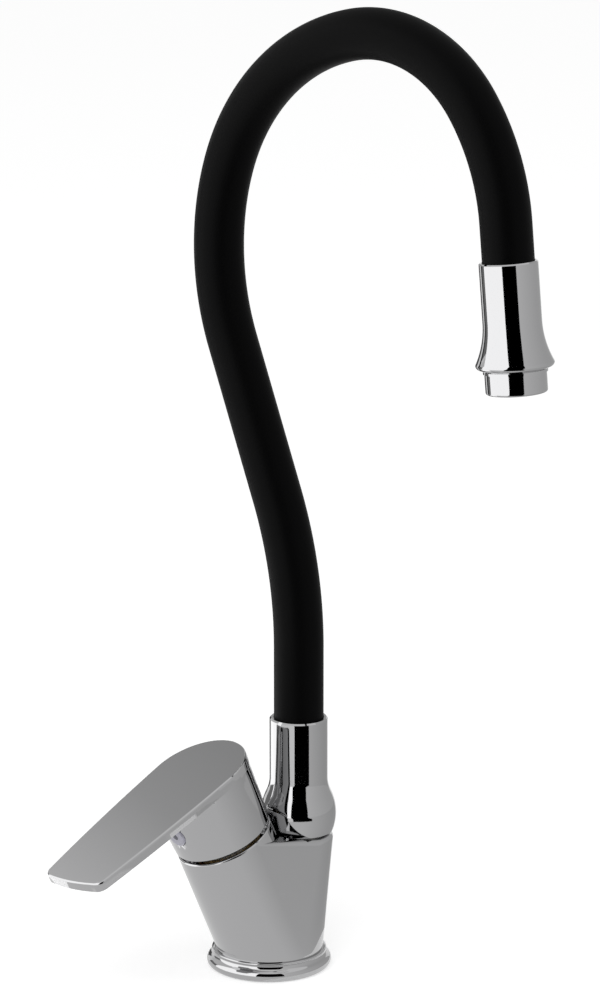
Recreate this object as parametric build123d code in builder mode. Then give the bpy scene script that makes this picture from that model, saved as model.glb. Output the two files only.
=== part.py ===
from build123d import *
import os
from math import atan2, cos, degrees, radians, sin, sqrt

# A single-lever kitchen mixer with a flexible, hose-like spout.
# Origin: centre of the underside, where the mixer stands on the worktop. +Z is up, the lever's
# branch leans towards -X and the spout stands on the +X side. Lengths are in millimetres.

os.makedirs("parts", exist_ok=True)

# Driving sizes of the body
base_diameter = 50.4
foot_setback = 3.2
foot_diameter = base_diameter - 2 * foot_setback
foot_height = 8.6
ring_diameter = 40.0
ring_x = -21.0
branch_tilt = 24.0
boss_diameter = 28.4
boss_height = 54.0
ring_rise = 3.5
ring_height = boss_height + ring_rise
spout_offset = 14.0

# Driving sizes of the lever
lever_turn_at_rest = 14.0
handle_gap = 1.3
hub_height = 31.9
hub_top_diameter = 43.4
lever_reach = 74.5
lever_thickness = 3.8
lift_pivot_height = 9.0

# Driving sizes of the cartridge, a ceramic one of 25 mm
cartridge_diameter = 25.0
cartridge_depth = 29.3

# Driving sizes of the spout
hose_diameter = 20.0
hose_wall = 2.0
collar_diameter = 23.5
collar_bulge_diameter = 30.4
collar_foot_diameter = 27.8
collar_length = 48.0
collar_height = boss_height + collar_length
hose_seat_depth = 17.8
hose_seat_height = collar_height - hose_seat_depth
water_tube_diameter = 8.0
water_tube_wall = 1.0
spout_turn = -70.0

# Driving sizes of the outlet
bell_top_diameter = 22.6
bell_rim_diameter = 30.2
bell_length = 40.5
aerator_diameter = 23.8
aerator_drop = 9.0

# Clearances that several pieces share, and one overrun for all cuts
fit_gap = 0.05
loose_gap = 0.2
seat_gap = 0.3
cut_overrun = 1.0

# The neck from its seat in the collar to its seat in the outlet: the length of each run, and
# how far it turns towards the outlet, in degrees
neck_runs = [47.0, 62.0, 64.0, 72.5, 88.0, 65.0, 47.0, 30.0]
neck_turns = [0.0, -21.0, 0.0, 39.5, 59.5, 66.0, 30.5, 0.0]

# Frames that the pieces share
tilt = radians(branch_tilt)
ring_centre = (ring_x, 0, ring_height)
cartridge_up = Vector(-sin(tilt), 0, cos(tilt))
cartridge_front = Vector(-cos(tilt), 0, -sin(tilt))
cartridge_axis = Axis(ring_centre, cartridge_up)
ring_plane = Plane(origin=ring_centre, x_dir=cartridge_front, z_dir=cartridge_up)
ring_profile = Plane(
    origin=ring_centre, x_dir=cartridge_front, z_dir=cartridge_front.cross(cartridge_up)
)
lever_front = cartridge_front.rotate(Axis((0, 0, 0), cartridge_up), lever_turn_at_rest)
lever_plane = Plane(origin=ring_centre, x_dir=lever_front, z_dir=cartridge_up)
lever_profile = Plane(
    origin=ring_centre, x_dir=lever_front, z_dir=lever_front.cross(cartridge_up)
)
spout_foot = (spout_offset, 0, 0)
spout_axis = Axis(spout_foot, (0, 0, 1))
spout_plane = Plane(origin=spout_foot, x_dir=(1, 0, 0), z_dir=(0, 0, 1))
spout_profile = Plane(origin=spout_foot, x_dir=(1, 0, 0), z_dir=(0, -1, 0))
neck_angle = radians(spout_turn)
neck_reach = Vector(cos(neck_angle), sin(neck_angle), 0)
neck_foot = (spout_offset, 0, hose_seat_height)
neck_plane = Plane(origin=neck_foot, x_dir=neck_reach, z_dir=neck_reach.cross(Vector(0, 0, 1)))


def save(piece, name):
    """Labels a finished piece and writes it under that name."""
    piece.label = name
    export_step(piece, f"parts/{name}.step")


def ring_between(plane, outer, inner, low, high):
    """A turned ring between two heights over a plane, or a disc where inner is zero."""
    with BuildPart() as ring:
        with BuildSketch(plane.offset(low)):
            Circle(outer)
            if inner > 0:
                Circle(inner, mode=Mode.SUBTRACT)
        extrude(amount=high - low)
    return ring.part


def hole_between(start, end, radius, overrun):
    """A drilled passage from one point to another, run on past its end."""
    way = Vector(*end) - Vector(*start)
    with BuildPart() as passage:
        with BuildSketch(Plane(origin=start, z_dir=way)):
            Circle(radius)
        extrude(amount=way.length + overrun)
    return passage.part


def neck_place(station):
    """The point of the neck's centre line at a station, and its heading from upright."""
    x, y, heading, left = 0, 0, 0, station
    for length, turn in zip(neck_runs, neck_turns):
        part = min(left, length)
        if turn == 0:
            x += part * sin(heading)
            y += part * cos(heading)
        else:
            radius = length / radians(turn)
            after = heading + part / radius
            x += radius * (cos(heading) - cos(after))
            y += radius * (sin(after) - sin(heading))
            heading = after
        left -= part
        if left <= 0:
            break
    return x, y, heading


def neck_section(station):
    """The plane square to the neck at a station, facing the outlet."""
    x, y, heading = neck_place(station)
    along = neck_plane.x_dir * sin(heading) + neck_plane.y_dir * cos(heading)
    return Plane(origin=neck_plane.from_local_coords((x, y, 0)), x_dir=neck_plane.z_dir, z_dir=along)


def neck_line(start, end):
    """The neck's centre line between two stations, drawn in the neck plane by BuildLine."""
    first = 0
    for length, turn in zip(neck_runs, neck_turns):
        low = max(start, first)
        high = min(end, first + length)
        if high > low:
            x, y, heading = neck_place(low)
            if turn == 0:
                far_x, far_y, _ = neck_place(high)
                Line((x, y), (far_x, far_y))
            else:
                share = (high - low) / length
                radius = abs(length / radians(turn))
                JernArc((x, y), (sin(heading), cos(heading)), radius, -turn * share)
        first += length


def neck_tube(start, end, outer, inner):
    """A tube, or a round bar where inner is zero, along the neck between two stations."""
    with BuildPart() as tube:
        with BuildLine(neck_plane) as centre_line:
            neck_line(start, end)
        with BuildSketch(neck_section(start)):
            Circle(outer)
            if inner > 0:
                Circle(inner, mode=Mode.SUBTRACT)
        sweep(path=centre_line.line)
    return tube.part


# Mixer body: one brass casting, two tapered branches that grow out of one round foot
foot_radius = foot_diameter / 2
ring_radius = ring_diameter / 2
boss_radius = boss_diameter / 2
foot_land = 0.5
rim_round = 0.8
boss_round = 2.4
rim_width = 0.7
web_root_width = 0.4
web_inset_share = 0.375
web_inset = web_root_width * web_inset_share
spigot_setback = 2.7
spigot_radius = foot_radius - spigot_setback
relief_gap = 0.5
relief_height = 20.0
dish_mouth_radius = ring_radius - rim_width
dish_radius = sqrt(dish_mouth_radius**2 + lift_pivot_height**2)
dish_depth = 5.0
nut_radius = 13.65
nut_depth = 11.0
cartridge_radius = cartridge_diameter / 2
spout_bore_radius = 9.0
spout_bore_depth = 17.0
spout_well_radius = 4.0
spout_well_depth = 4.0
clip_groove_radius = 9.9
clip_groove_depth = 9.0
clip_groove_height = boss_height - clip_groove_depth
clip_groove_width = 1.6
stud_hole_radius = 3.4
stud_hole_depth = 12.0
inlet_radius = 4.5
inlet_depth = 14.0
inlet_wall = 4.3
inlet_spacing = 2 * (spigot_radius - inlet_wall - inlet_radius)
port_radius = 2.4
inlet_port_x = 2.5
inlet_port_y = 5.6
outlet_port_x = -5.5
outlet_turn_depth = 4.6

dish_floor_radius = sqrt(dish_radius**2 - (lift_pivot_height + dish_depth) ** 2)
dish_middle_angle = (
    atan2(lift_pivot_height, dish_mouth_radius)
    + atan2(lift_pivot_height + dish_depth, dish_floor_radius)
) / 2
relief_radius = collar_bulge_diameter / 2 + relief_gap
cartridge_bore_radius = cartridge_radius + fit_gap
nut_bore_radius = nut_radius + fit_gap
spout_bore_floor = boss_height - spout_bore_depth

# A web fills the valley between the branches, along the two planes that touch both. The lines
# where it meets them start at one place on the foot and spread apart up to the web's top.
branch_foot = foot_height + foot_land
web_top = boss_height - boss_round
web_slope = (ring_radius - boss_radius) / (spout_offset - ring_x)
web_side_share = sqrt(1 - web_slope**2)
web_front_share = (web_top - branch_foot) / (ring_height - branch_foot)
web_back_share = (web_top - branch_foot) / (boss_height - branch_foot)
web_root_x = web_slope * foot_radius
web_root_y = foot_radius * web_side_share - web_inset
front_radius = foot_radius + (ring_radius - foot_radius) * web_front_share
web_front_x = ring_x * web_front_share + web_slope * front_radius
web_front_y = front_radius * web_side_share - web_inset
back_radius = foot_radius + (boss_radius - foot_radius) * web_back_share
web_back_x = spout_offset * web_back_share + web_slope * back_radius
web_back_y = back_radius * web_side_share - web_inset

with BuildPart() as handle_branch:
    with BuildSketch(Plane.XY.offset(branch_foot)):
        Circle(foot_radius)
    with BuildSketch(ring_plane):
        Circle(ring_radius)
    loft()
    fillet(handle_branch.faces().sort_by(cartridge_axis)[-1].edges(), rim_round)
    # Behind the web's front line it is left only above the web
    with BuildSketch(Plane.XZ):
        Polygon(
            (web_root_x, branch_foot),
            (web_front_x, web_top),
            (base_diameter, web_top),
            (base_diameter, branch_foot),
            align=None,
        )
    extrude(amount=foot_diameter, both=True, mode=Mode.SUBTRACT)

with BuildPart() as spout_branch:
    with BuildSketch(Plane.XY.offset(branch_foot)):
        Circle(foot_radius)
    with BuildSketch(Plane.XY.offset(boss_height)):
        with Locations((spout_offset, 0)):
            Circle(boss_radius)
    loft()
    fillet(spout_branch.faces().sort_by(Axis.Z)[-1].edges(), boss_round)
    # Before the web's back line it is left only above the web
    with BuildSketch(Plane.XZ):
        Polygon(
            (web_root_x, branch_foot),
            (web_back_x, web_top),
            (-base_diameter, web_top),
            (-base_diameter, branch_foot),
            align=None,
        )
    extrude(amount=foot_diameter, both=True, mode=Mode.SUBTRACT)

with BuildPart() as branch_web:
    with BuildSketch(Plane.XY.offset(branch_foot)):
        with Locations((web_root_x, 0)):
            Rectangle(web_root_width, 2 * web_root_y)
    with BuildSketch(Plane.XY.offset(web_top)):
        Polygon(
            (web_front_x - web_root_width / 2, -web_front_y),
            (web_back_x + web_root_width / 2, -web_back_y),
            (web_back_x + web_root_width / 2, web_back_y),
            (web_front_x - web_root_width / 2, web_front_y),
            align=None,
        )
    loft(ruled=True)

with BuildPart() as dish_cut:
    with BuildSketch(ring_profile):
        with BuildLine():
            Polyline(
                (dish_mouth_radius, 0),
                (dish_mouth_radius, cut_overrun),
                (0, cut_overrun),
                (0, -dish_depth),
                (dish_floor_radius, -dish_depth),
            )
            ThreePointArc(
                (dish_floor_radius, -dish_depth),
                (
                    dish_radius * cos(dish_middle_angle),
                    lift_pivot_height - dish_radius * sin(dish_middle_angle),
                ),
                (dish_mouth_radius, 0),
            )
        make_face()
    revolve(axis=cartridge_axis)

cartridge_floor = ring_plane.offset(-cartridge_depth)
outlet_turn = cartridge_floor.from_local_coords((outlet_port_x, 0, -outlet_turn_depth))

with BuildPart() as mixer_body:
    add(handle_branch.part)
    add(spout_branch.part)
    add(branch_web.part)
    with BuildSketch(Plane.XY):
        Circle(spigot_radius)
    extrude(amount=foot_height)
    # The branches stand on a narrow land, as wide as their foot
    with BuildSketch(Plane.XY.offset(foot_height)):
        Circle(foot_radius)
    extrude(amount=foot_land)
    # The collar turns in a round relief beside the handle branch
    with BuildSketch(spout_plane.offset(boss_height)):
        Circle(relief_radius)
    extrude(amount=relief_height, mode=Mode.SUBTRACT)
    # The dish lets the lever's skirt swing in, and the bores below hold nut and cartridge
    add(dish_cut.part, mode=Mode.SUBTRACT)
    with BuildSketch(ring_plane.offset(-nut_depth)):
        Circle(nut_bore_radius)
    extrude(amount=nut_depth, mode=Mode.SUBTRACT)
    with BuildSketch(cartridge_floor):
        Circle(cartridge_bore_radius)
    extrude(amount=cartridge_depth, mode=Mode.SUBTRACT)
    # The spout's bore, with the groove for its clip
    with BuildSketch(spout_plane.offset(spout_bore_floor)):
        Circle(spout_bore_radius)
    extrude(amount=spout_bore_depth + cut_overrun, mode=Mode.SUBTRACT)
    with BuildSketch(spout_plane.offset(spout_bore_floor - spout_well_depth)):
        Circle(spout_well_radius)
    extrude(amount=spout_well_depth + cut_overrun, mode=Mode.SUBTRACT)
    with BuildSketch(spout_plane.offset(clip_groove_height)):
        Circle(clip_groove_radius)
    extrude(amount=clip_groove_width, mode=Mode.SUBTRACT)
    # The underside's stud hole and two inlets
    with BuildSketch(Plane.XY):
        Circle(stud_hole_radius)
    extrude(amount=stud_hole_depth, mode=Mode.SUBTRACT)
    with BuildSketch(Plane.XY):
        with GridLocations(0, inlet_spacing, 1, 2):
            Circle(inlet_radius)
    extrude(amount=inlet_depth, mode=Mode.SUBTRACT)
    # The waterways: hot and cold up to the cartridge, mixed water over to the spout
    for side in (-1, 1):
        port = cartridge_floor.from_local_coords((inlet_port_x, -side * inlet_port_y, 0))
        inlet_top = (0, side * inlet_spacing / 2, inlet_depth - cut_overrun)
        add(hole_between(inlet_top, port, port_radius, cut_overrun), mode=Mode.SUBTRACT)
    outlet_port = cartridge_floor.from_local_coords((outlet_port_x, 0, 0))
    add(hole_between(outlet_turn, outlet_port, port_radius, cut_overrun), mode=Mode.SUBTRACT)
    well_middle = (spout_offset, 0, spout_bore_floor - spout_well_depth / 2)
    add(hole_between(outlet_turn, well_middle, port_radius, 0), mode=Mode.SUBTRACT)
save(mixer_body.part, "mixer_body")

# Base ring: turned brass, it slides over the body's spigot and covers the cut in the worktop
base_radius = base_diameter / 2
base_edge_height = 4.8
base_flat_width = 2.3
base_shoulder_width = 1.4
cove_width = 0.8
cove_radius = foot_radius + cove_width
cove_height = 6.5
bead_width = 0.4
bead_height = 1.2
groove_wall = 0.5
groove_width = 2.0
groove_outer_radius = base_radius - base_flat_width - groove_wall
groove_inner_radius = groove_outer_radius - groove_width
groove_depth = 1.6
ring_bore_radius = spigot_radius + fit_gap

with BuildPart() as base_ring:
    with BuildSketch(Plane.XZ):
        with BuildLine():
            Line((ring_bore_radius, 0), (base_radius - base_flat_width, 0))
            ThreePointArc(
                (base_radius - base_flat_width, 0),
                (base_radius, base_edge_height / 2),
                (base_radius - base_shoulder_width, base_edge_height),
            )
            ThreePointArc(
                (base_radius - base_shoulder_width, base_edge_height),
                (cove_radius + bead_width / 2, (base_edge_height + cove_height) / 2),
                (cove_radius, cove_height),
            )
            ThreePointArc(
                (cove_radius, cove_height),
                (cove_radius + bead_width, cove_height + bead_height / 2),
                (cove_radius, cove_height + bead_height),
            )
            Polyline(
                (cove_radius, cove_height + bead_height),
                (foot_radius, cove_height + bead_height),
                (foot_radius, foot_height),
                (ring_bore_radius, foot_height),
                (ring_bore_radius, 0),
            )
        make_face()
    revolve(axis=Axis.Z)
    with BuildSketch(Plane.XY):
        Circle(groove_outer_radius)
        Circle(groove_inner_radius, mode=Mode.SUBTRACT)
    extrude(amount=groove_depth, mode=Mode.SUBTRACT)
save(base_ring.part, "base_ring")

# Base gasket: a flat rubber ring in the groove under the base ring
base_gasket = ring_between(
    Plane.XY, groove_outer_radius - fit_gap, groove_inner_radius + fit_gap, 0, groove_depth
)
save(base_gasket, "base_gasket")

# Cartridge, from its floor up: heights are over the ring plane
floor_height = -cartridge_depth
cartridge_base_thickness = 4.5
fixed_disc_thickness = 3.0
moving_disc_thickness = 2.8
carrier_thickness = 3.9
turret_flange_thickness = 2.2
chamber_radius = 10.9
fixed_disc_height = floor_height + cartridge_base_thickness
moving_disc_height = fixed_disc_height + fixed_disc_thickness + fit_gap
carrier_height = moving_disc_height + moving_disc_thickness
turret_height = carrier_height + carrier_thickness + fit_gap
chamber_top = turret_height + turret_flange_thickness + fit_gap
seal_radius = 3.3
seal_thickness = 1.2

# Cartridge base: a plastic plate with a counterbore and a hole at each of the three ports
port_places = [
    (inlet_port_x, inlet_port_y),
    (inlet_port_x, -inlet_port_y),
    (outlet_port_x, 0),
]
with BuildPart() as cartridge_base:
    add(ring_between(ring_plane, cartridge_radius, 0, floor_height, fixed_disc_height))
    with BuildSketch(cartridge_floor):
        with Locations(*port_places):
            Circle(seal_radius + fit_gap)
    extrude(amount=seal_thickness, mode=Mode.SUBTRACT)
    with BuildSketch(cartridge_floor):
        with Locations(*port_places):
            Circle(port_radius)
    extrude(amount=cartridge_base_thickness, mode=Mode.SUBTRACT)
save(cartridge_base.part, "cartridge_base")

# Port seals: three rubber rings between the cartridge base and the body's floor
with BuildPart() as port_seals:
    with BuildSketch(cartridge_floor):
        with Locations(*port_places):
            Circle(seal_radius)
        with Locations(*port_places):
            Circle(port_radius, mode=Mode.SUBTRACT)
    extrude(amount=seal_thickness)
save(port_seals.part, "port_seals")

# Fixed disc: ceramic, with the same three ports
with BuildPart() as fixed_disc:
    add(
        ring_between(
            ring_plane,
            chamber_radius - fit_gap,
            0,
            fixed_disc_height,
            fixed_disc_height + fixed_disc_thickness,
        )
    )
    with BuildSketch(ring_plane.offset(fixed_disc_height)):
        with Locations(*port_places):
            Circle(port_radius)
    extrude(amount=fixed_disc_thickness, mode=Mode.SUBTRACT)
save(fixed_disc.part, "fixed_disc")

# Cartridge housing: the shell that holds the discs, with a neck that guides the turret
housing_neck_radius = 9.4
housing_neck_bore = 7.4
housing_neck_top = 1.0
with BuildPart() as cartridge_housing:
    with BuildSketch(ring_profile):
        Polygon(
            (chamber_radius, fixed_disc_height),
            (cartridge_radius, fixed_disc_height),
            (cartridge_radius, -nut_depth),
            (housing_neck_radius, -nut_depth),
            (housing_neck_radius, housing_neck_top),
            (housing_neck_bore, housing_neck_top),
            (housing_neck_bore, chamber_top),
            (chamber_radius, chamber_top),
            align=None,
        )
    revolve(axis=cartridge_axis)
save(cartridge_housing.part, "cartridge_housing")

# Cartridge nut: brass, screwed into the body down on the housing's shoulder, with key slots
nut_thickness = 5.8
slot_width = 3.0
slot_depth = 1.6
slot_count = 6
nut_top = nut_thickness - nut_depth
with BuildPart() as cartridge_nut:
    add(ring_between(ring_plane, nut_radius, housing_neck_radius + fit_gap, -nut_depth, nut_top))
    with BuildSketch(ring_plane.offset(nut_top)):
        with PolarLocations(nut_radius, slot_count):
            Rectangle(slot_width, slot_width)
    extrude(amount=-slot_depth, mode=Mode.SUBTRACT)
save(cartridge_nut.part, "cartridge_nut")

# Disc carrier and moving disc: the lever slides them across the fixed disc. Their middle lies
# half a travel behind the axis at rest, and the drive post in front of it holds the ball.
lift_angle = 18.0
ball_height = 0.0
ball_radius = 1.9
post_width = 5.6
post_top = 1.8
moving_disc_radius = 8.9
mixing_pocket_radius = 6.4
mixing_pocket_depth = 1.4
disc_travel = (lift_pivot_height - ball_height) * sin(radians(lift_angle))

with BuildPart() as moving_disc:
    with BuildSketch(lever_plane.offset(moving_disc_height)):
        with Locations((-disc_travel / 2, 0)):
            Circle(moving_disc_radius)
    extrude(amount=moving_disc_thickness)
    with BuildSketch(lever_plane.offset(moving_disc_height)):
        with Locations((-disc_travel / 2, 0)):
            Circle(mixing_pocket_radius)
    extrude(amount=mixing_pocket_depth, mode=Mode.SUBTRACT)
save(moving_disc.part, "moving_disc")

with BuildPart() as disc_carrier:
    with BuildSketch(lever_plane.offset(carrier_height)):
        with Locations((-disc_travel / 2, 0)):
            Circle(moving_disc_radius)
    extrude(amount=carrier_thickness)
    with BuildSketch(lever_plane.offset(carrier_height)):
        Rectangle(post_width, post_width)
    extrude(amount=post_top - carrier_height)
    with BuildSketch(lever_plane.offset(post_top)):
        Circle(ball_radius + fit_gap)
    extrude(amount=-post_width, mode=Mode.SUBTRACT)
save(disc_carrier.part, "disc_carrier")

# Turret: turns with the lever, carries the pivot pin in two ears, and lets the post slide
turret_radius = housing_neck_bore - fit_gap
turret_flange_radius = chamber_radius - seat_gap
turret_top = 4.0
ear_radius = 2.8
ear_inner = 3.1
ear_outer = 6.4
pin_radius = 1.25
slot_half_width = post_width / 2 + seat_gap / 2
turret_slot_back = post_width / 2 + seat_gap
turret_slot_front = post_width / 2 + disc_travel + seat_gap

with BuildPart() as turret:
    add(
        ring_between(
            ring_plane, turret_flange_radius, 0, turret_height, turret_height + turret_flange_thickness
        )
    )
    add(ring_between(ring_plane, turret_radius, 0, turret_height, turret_top))
    ear_thickness = ear_outer - ear_inner
    for side in (-1, 1):
        ear_start = side * ear_inner if side > 0 else side * ear_outer
        with BuildSketch(lever_profile.offset(ear_start)):
            with Locations((0, lift_pivot_height)):
                Circle(ear_radius)
            with Locations((0, (lift_pivot_height + turret_top) / 2)):
                Rectangle(2 * ear_radius, lift_pivot_height - turret_top)
        extrude(amount=ear_thickness)
    with BuildSketch(lever_plane.offset(turret_height)):
        with Locations(((turret_slot_front - turret_slot_back) / 2, 0)):
            Rectangle(turret_slot_front + turret_slot_back, 2 * slot_half_width)
    extrude(amount=turret_top - turret_height, mode=Mode.SUBTRACT)
    with BuildSketch(lever_profile.offset(-ear_outer)):
        with Locations((0, lift_pivot_height)):
            Circle(pin_radius)
    extrude(amount=2 * ear_outer, mode=Mode.SUBTRACT)
save(turret.part, "turret")

# Pivot pin: steel, pressed through both ears
with BuildPart() as pivot_pin:
    with BuildSketch(lever_profile.offset(-ear_outer)):
        with Locations((0, lift_pivot_height)):
            Circle(pin_radius)
    extrude(amount=2 * ear_outer)
save(pivot_pin.part, "pivot_pin")

# Spindle: the steel lever of the cartridge, a ball below the pin and a square stem above it
spindle_shank_radius = 1.2
spindle_eye_length = 6.0
spindle_eye_width = 5.6
spindle_square = 7.0
spindle_top = 21.0
ear_clearance = 0.6
eye_low = lift_pivot_height - spindle_eye_length / 2
square_low = lift_pivot_height + ear_radius + ear_clearance

with BuildPart() as spindle:
    with BuildSketch(lever_plane.offset(ball_height)):
        Circle(spindle_shank_radius)
    extrude(amount=eye_low - ball_height)
    with Locations(lever_plane.offset(ball_height)):
        Sphere(ball_radius)
    with BuildSketch(lever_plane.offset(eye_low)):
        Rectangle(spindle_eye_length, spindle_eye_width)
    extrude(amount=square_low - eye_low)
    with BuildSketch(lever_plane.offset(square_low)):
        Rectangle(spindle_square, spindle_square)
    extrude(amount=spindle_top - square_low)
    with BuildSketch(lever_profile.offset(-spindle_eye_width / 2)):
        with Locations((0, lift_pivot_height)):
            Circle(pin_radius + fit_gap)
    extrude(amount=spindle_eye_width, mode=Mode.SUBTRACT)
save(spindle.part, "spindle")

# Handle: a hub and a flat lever in one casting. The hub's cavity covers the cartridge, and
# its boss grips the spindle's square.
hub_bottom_radius = ring_radius
hub_top_radius = hub_top_diameter / 2
hub_wall = 2.6
hub_roof = 6.0
skirt_round = 1.3
hub_boss_radius = 6.8
hub_boss_gap = 0.4
plug_height = 14.4
plug_radius = 4.4
plug_proud = 0.4
plug_seat_depth = 1.6
grub_radius = 2.0
lever_middle_setback = 1.5
lever_tip_setback = 3.8
lever_middle_half_width = hub_top_radius - lever_middle_setback
lever_tip_half_width = lever_middle_half_width - lever_tip_setback
lever_middle_share = 0.45
lever_tip_bulge = 1.6
lever_corner = 4.0
lever_edge_round = 0.9
hub_bottom = handle_gap
hub_cavity_top = hub_height - hub_roof
hub_boss_low = lift_pivot_height + ear_radius + hub_boss_gap
plug_share = (plug_height - hub_bottom) / (hub_height - hub_bottom)
hub_radius_at_plug = hub_bottom_radius + (hub_top_radius - hub_bottom_radius) * plug_share
plug_back = hub_radius_at_plug - plug_seat_depth
plug_plane = Plane(
    origin=lever_plane.from_local_coords((0, 0, plug_height)),
    x_dir=cartridge_up,
    z_dir=lever_front,
)
same_height = 0.01


def at_height(edges, height):
    """The edges whose middle lies at a height over the ring plane."""
    return edges.filter_by(
        lambda edge: abs(lever_plane.to_local_coords(edge.center()).Z - height) < same_height
    )


with BuildPart() as handle:
    with BuildSketch(lever_plane.offset(hub_height - lever_thickness)):
        with BuildLine():
            middle_x = lever_reach * lever_middle_share
            rear = ThreePointArc((0, hub_top_radius), (-hub_top_radius, 0), (0, -hub_top_radius))
            right = ThreePointArc(
                (0, -hub_top_radius),
                (middle_x, -lever_middle_half_width),
                (lever_reach - lever_tip_bulge, -lever_tip_half_width),
            )
            tip = ThreePointArc(
                (lever_reach - lever_tip_bulge, -lever_tip_half_width),
                (lever_reach, 0),
                (lever_reach - lever_tip_bulge, lever_tip_half_width),
            )
            left = ThreePointArc(
                (lever_reach - lever_tip_bulge, lever_tip_half_width),
                (middle_x, lever_middle_half_width),
                (0, hub_top_radius),
            )
        face = make_face()
        fillet(face.vertices().sort_by(Axis.X)[-2:], lever_corner)
    extrude(amount=lever_thickness)
    with BuildSketch(lever_profile):
        Polygon(
            (0, hub_bottom),
            (hub_bottom_radius, hub_bottom),
            (hub_top_radius, hub_height),
            (0, hub_height),
            align=None,
        )
    revolve(axis=cartridge_axis)
    fillet(at_height(handle.edges(), hub_bottom), skirt_round)
    fillet(at_height(handle.edges(), hub_height), lever_edge_round)
    with BuildSketch(lever_plane.offset(hub_bottom)):
        Circle(hub_bottom_radius - hub_wall)
        Circle(hub_boss_radius, mode=Mode.SUBTRACT)
    extrude(amount=hub_cavity_top - hub_bottom, mode=Mode.SUBTRACT)
    with BuildSketch(lever_plane.offset(hub_bottom)):
        Circle(hub_boss_radius)
    extrude(amount=hub_boss_low - hub_bottom, mode=Mode.SUBTRACT)
    with BuildSketch(lever_plane.offset(hub_boss_low)):
        Rectangle(spindle_square + 2 * fit_gap, spindle_square + 2 * fit_gap)
    extrude(amount=spindle_top - hub_boss_low, mode=Mode.SUBTRACT)
    with BuildSketch(plug_plane.offset(plug_back)):
        Circle(plug_radius + fit_gap)
    extrude(amount=2 * plug_seat_depth, mode=Mode.SUBTRACT)
    with BuildSketch(plug_plane):
        Circle(grub_radius + fit_gap)
    extrude(amount=plug_back + cut_overrun, mode=Mode.SUBTRACT)
save(handle.part, "handle")

# Grub screw: it clamps the spindle's square, with a hexagon socket in its outer end
grub_length = 5.0
grub_socket_radius = 1.1
grub_socket_depth = 2.0
with BuildPart() as handle_grub_screw:
    with BuildSketch(plug_plane.offset(spindle_square / 2)):
        Circle(grub_radius)
    extrude(amount=grub_length)
    with BuildSketch(plug_plane.offset(spindle_square / 2 + grub_length)):
        RegularPolygon(grub_socket_radius, 6)
    extrude(amount=-grub_socket_depth, mode=Mode.SUBTRACT)
save(handle_grub_screw.part, "handle_grub_screw")

# Index plug: a clear button that closes the screw's hole under the lever
plug_round = 0.5
with BuildPart() as index_plug:
    with BuildSketch(plug_plane.offset(plug_back)):
        Circle(plug_radius)
    extrude(amount=plug_seat_depth + plug_proud)
    fillet(index_plug.faces().sort_by(Axis((0, 0, 0), lever_front))[-1].edges(), plug_round)
save(index_plug.part, "index_plug")

# Slip ring: nylon, lies on the boss and carries the turning collar
slip_ring_thickness = 0.8
slip_ring_radius = 11.4
slip_ring_top = boss_height + slip_ring_thickness
slip_ring = ring_between(
    spout_plane, slip_ring_radius, spout_bore_radius + fit_gap, boss_height, slip_ring_top
)
save(slip_ring, "slip_ring")

# Spout collar: the chromed sleeve that turns on the body and holds the neck's lower end
collar_radius = collar_diameter / 2
bulge_radius = collar_bulge_diameter / 2
collar_foot_radius = collar_foot_diameter / 2
bulge_rise = 8.0
bulge_height = boss_height + bulge_rise
shoulder_rise = 23.0
shoulder_height = boss_height + shoulder_rise
collar_lip = 0.6
hose_radius = hose_diameter / 2
hose_seat_radius = hose_radius + loose_gap
shank_thread_radius = 7.95
collar_low = slip_ring_top + fit_gap
collar_skirt_rise = 2.4
collar_skirt_height = boss_height + collar_skirt_rise
shoulder_turn = 2 * atan2(bulge_radius - collar_radius, shoulder_height - bulge_height)
shoulder_sum = (shoulder_height - bulge_height) / sin(shoulder_turn)
foot_turn = 2 * atan2(bulge_radius - collar_foot_radius, bulge_height - collar_low)
bulge_curve = (bulge_height - collar_low) / sin(foot_turn)
hollow_curve = shoulder_sum - bulge_curve

with BuildPart() as spout_collar:
    with BuildSketch(spout_profile):
        with BuildLine():
            Polyline(
                (hose_seat_radius, collar_height),
                (collar_radius - collar_lip, collar_height),
                (collar_radius, collar_height - collar_lip),
                (collar_radius, shoulder_height),
            )
            hollow = JernArc(
                (collar_radius, shoulder_height), (0, -1), hollow_curve, degrees(shoulder_turn)
            )
            bulge = JernArc(
                hollow @ 1, hollow % 1, bulge_curve, -degrees(shoulder_turn + foot_turn)
            )
            Polyline(
                bulge @ 1,
                (spout_bore_radius, collar_low),
                (spout_bore_radius, collar_skirt_height),
                (shank_thread_radius + fit_gap, collar_skirt_height),
                (shank_thread_radius + fit_gap, hose_seat_height),
                (hose_seat_radius, hose_seat_height),
                (hose_seat_radius, collar_height),
            )
        make_face()
    revolve(axis=spout_axis)
save(spout_collar.part, "spout_collar")

# Spout shank: brass, screwed into the collar. It turns in the body's bore on two seals, and
# its nipple carries the water tube.
shank_radius = spout_bore_radius - fit_gap
shank_floor_gap = 1.0
shank_low = spout_bore_floor + shank_floor_gap
water_bore_radius = 2.2
tube_radius = water_tube_diameter / 2
tube_inner_radius = tube_radius - water_tube_wall
nipple_radius = tube_inner_radius - fit_gap
nipple_length = 10.0
shank_bore_radius = 5.0
shank_roof = 10.2
shank_bore_top = hose_seat_height - shank_roof
seal_groove_depth = 1.3
seal_groove_width = 1.8
low_seal_depth = 13.6
high_seal_depth = 4.4
seal_heights = (boss_height - low_seal_depth, boss_height - high_seal_depth)
clip_shank_depth = 1.4
clip_thickness = 1.4
clip_low = clip_groove_height + (clip_groove_width - clip_thickness) / 2

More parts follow.
